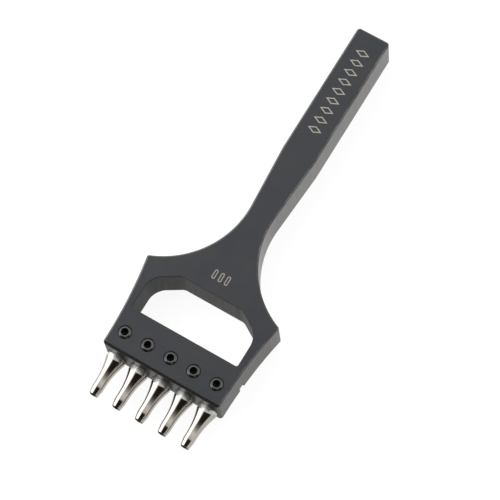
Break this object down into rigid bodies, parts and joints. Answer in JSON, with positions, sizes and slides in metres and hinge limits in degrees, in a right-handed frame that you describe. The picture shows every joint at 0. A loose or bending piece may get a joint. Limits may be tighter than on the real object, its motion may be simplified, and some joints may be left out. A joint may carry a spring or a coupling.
{
  "type": "pricking iron",
  "caption": "Flat steel row punch for leather: a one-piece holder with a window and hammer handle, its removable flat-oval punch bits held by grub screws.",
  "frame": {"origin": "middle of the bottom of the tool's box, lying flat on its back face", "axes": "+Z out of the front face, +Y along the tool towards the striking end of the handle, +X across the tool; the cutting edges point to -Y"},
  "size_m": [0.0346, 0.1046, 0.0103],
  "materials": {
    "blackened_steel": "satin blackened, fine milling marks on the edges",
    "polished_steel": "polished, with a matte ground collar",
    "screw_steel": "black oxide"
  },
  "bodies": {
    "holder": {"body": "blackened_steel"},
    "bit_1": {"punch_bit_1": "polished_steel"},
    "bit_2": {"punch_bit_2": "polished_steel"},
    "bit_3": {"punch_bit_3": "polished_steel"},
    "bit_4": {"punch_bit_4": "polished_steel"},
    "bit_5": {"punch_bit_5": "polished_steel"},
    "screw_1": {"grub_screw_1": "screw_steel"},
    "screw_2": {"grub_screw_2": "screw_steel"},
    "screw_3": {"grub_screw_3": "screw_steel"},
    "screw_4": {"grub_screw_4": "screw_steel"},
    "screw_5": {"grub_screw_5": "screw_steel"}
  },
  "joints": [
    {"name": "bit_1_withdraw", "type": "slide", "parent": "holder", "child": "bit_1", "axis": [0, -1, 0], "range_m": [0, 0.008]},
    {"name": "bit_2_withdraw", "type": "slide", "parent": "holder", "child": "bit_2", "axis": [0, -1, 0], "range_m": [0, 0.008]},
    {"name": "bit_3_withdraw", "type": "slide", "parent": "holder", "child": "bit_3", "axis": [0, -1, 0], "range_m": [0, 0.008]},
    {"name": "bit_4_withdraw", "type": "slide", "parent": "holder", "child": "bit_4", "axis": [0, -1, 0], "range_m": [0, 0.008]},
    {"name": "bit_5_withdraw", "type": "slide", "parent": "holder", "child": "bit_5", "axis": [0, -1, 0], "range_m": [0, 0.008]},
    {"name": "screw_1_back_out", "type": "slide", "parent": "holder", "child": "screw_1", "axis": [0, 0, 1], "range_m": [0, 0.005]},
    {"name": "screw_2_back_out", "type": "slide", "parent": "holder", "child": "screw_2", "axis": [0, 0, 1], "range_m": [0, 0.005]},
    {"name": "screw_3_back_out", "type": "slide", "parent": "holder", "child": "screw_3", "axis": [0, 0, 1], "range_m": [0, 0.005]},
    {"name": "screw_4_back_out", "type": "slide", "parent": "holder", "child": "screw_4", "axis": [0, 0, 1], "range_m": [0, 0.005]},
    {"name": "screw_5_back_out", "type": "slide", "parent": "holder", "child": "screw_5", "axis": [0, 0, 1], "range_m": [0, 0.005]}
  ]
}
